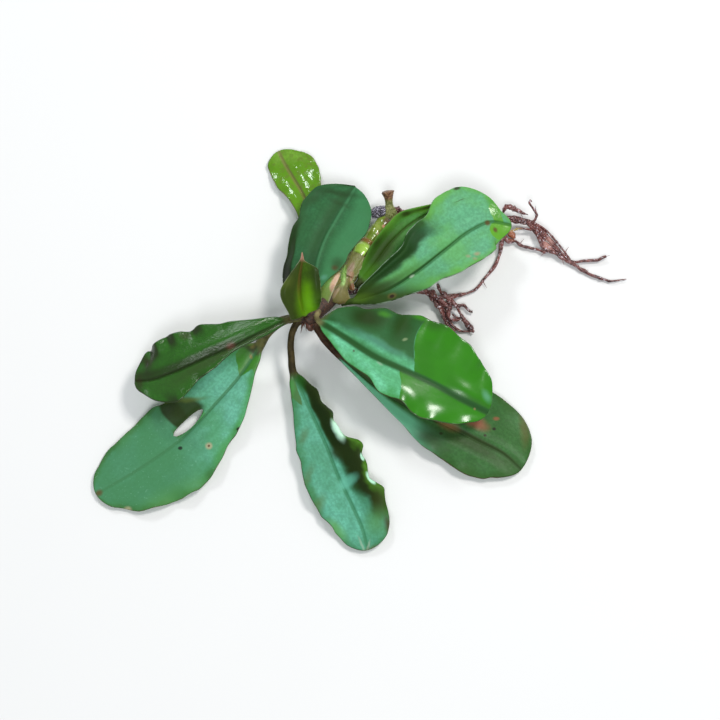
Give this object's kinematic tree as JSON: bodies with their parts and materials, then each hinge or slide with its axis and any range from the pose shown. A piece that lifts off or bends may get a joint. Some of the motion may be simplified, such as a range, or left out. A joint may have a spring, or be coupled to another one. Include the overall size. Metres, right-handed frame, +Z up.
{
  "type": "bucephalandra plant",
  "caption": "Bare-rooted aquatic bucephalandra plant lying flat: broad ruffled leaves around the tip of a creeping rhizome, with papery leaf bases and trailing roots",
  "frame": {"origin": "under the middle of the plant's bounding box, on the surface it lies on", "axes": "+X to the right and +Y away from the viewer as the plant is looked down on, so the rhizome runs from the crown towards +X +Y; +Z up from the surface"},
  "size_m": [0.1502, 0.1175, 0.0255],
  "materials": {
    "leaf_dry": "matt bluish green leaf surface with a soft sheen",
    "leaf_wet": "wet, glossy saturated green leaf surface",
    "leaf_yellow": "thin yellow-green leaf, wet and glossy",
    "leaf_young": "olive to bright green young leaf, satin",
    "rhizome": "wet green rhizome with a brown node",
    "stalk": "brownish spent stalk, dry end",
    "sheath": "thin translucent papery leaf base, beige to pink, wet",
    "scale": "dead dark brown scale",
    "root": "wet dark red-brown root"
  },
  "bodies": {
    "root": {"leaf_back": "leaf_dry", "leaf_back_left": "leaf_yellow", "leaf_front": "leaf_dry", "leaf_left_lower": "leaf_dry", "leaf_left_upper": "leaf_dry", "leaf_right_front": "leaf_wet", "leaf_right_lower": "leaf_dry", "leaf_upper_right": "leaf_dry", "leaf_upper_right_lower": "leaf_wet", "leaf_young": "leaf_young", "rhizome": "rhizome", "old_stalk": "stalk", "sheath_upper": "sheath", "sheath_middle": "sheath", "sheath_lower": "sheath", "scale_front": "scale", "root_upper": "root", "root_upper_tail": "root", "root_upper_loop": "root", "root_upper_curl": "root", "root_upper_shard": "root", "root_joining": "root", "root_lower": "root", "root_lower_branch": "root", "root_lower_fork": "root", "root_lower_long": "root", "root_lower_left": "root", "root_old_end": "root"}
  },
  "joints": []
}
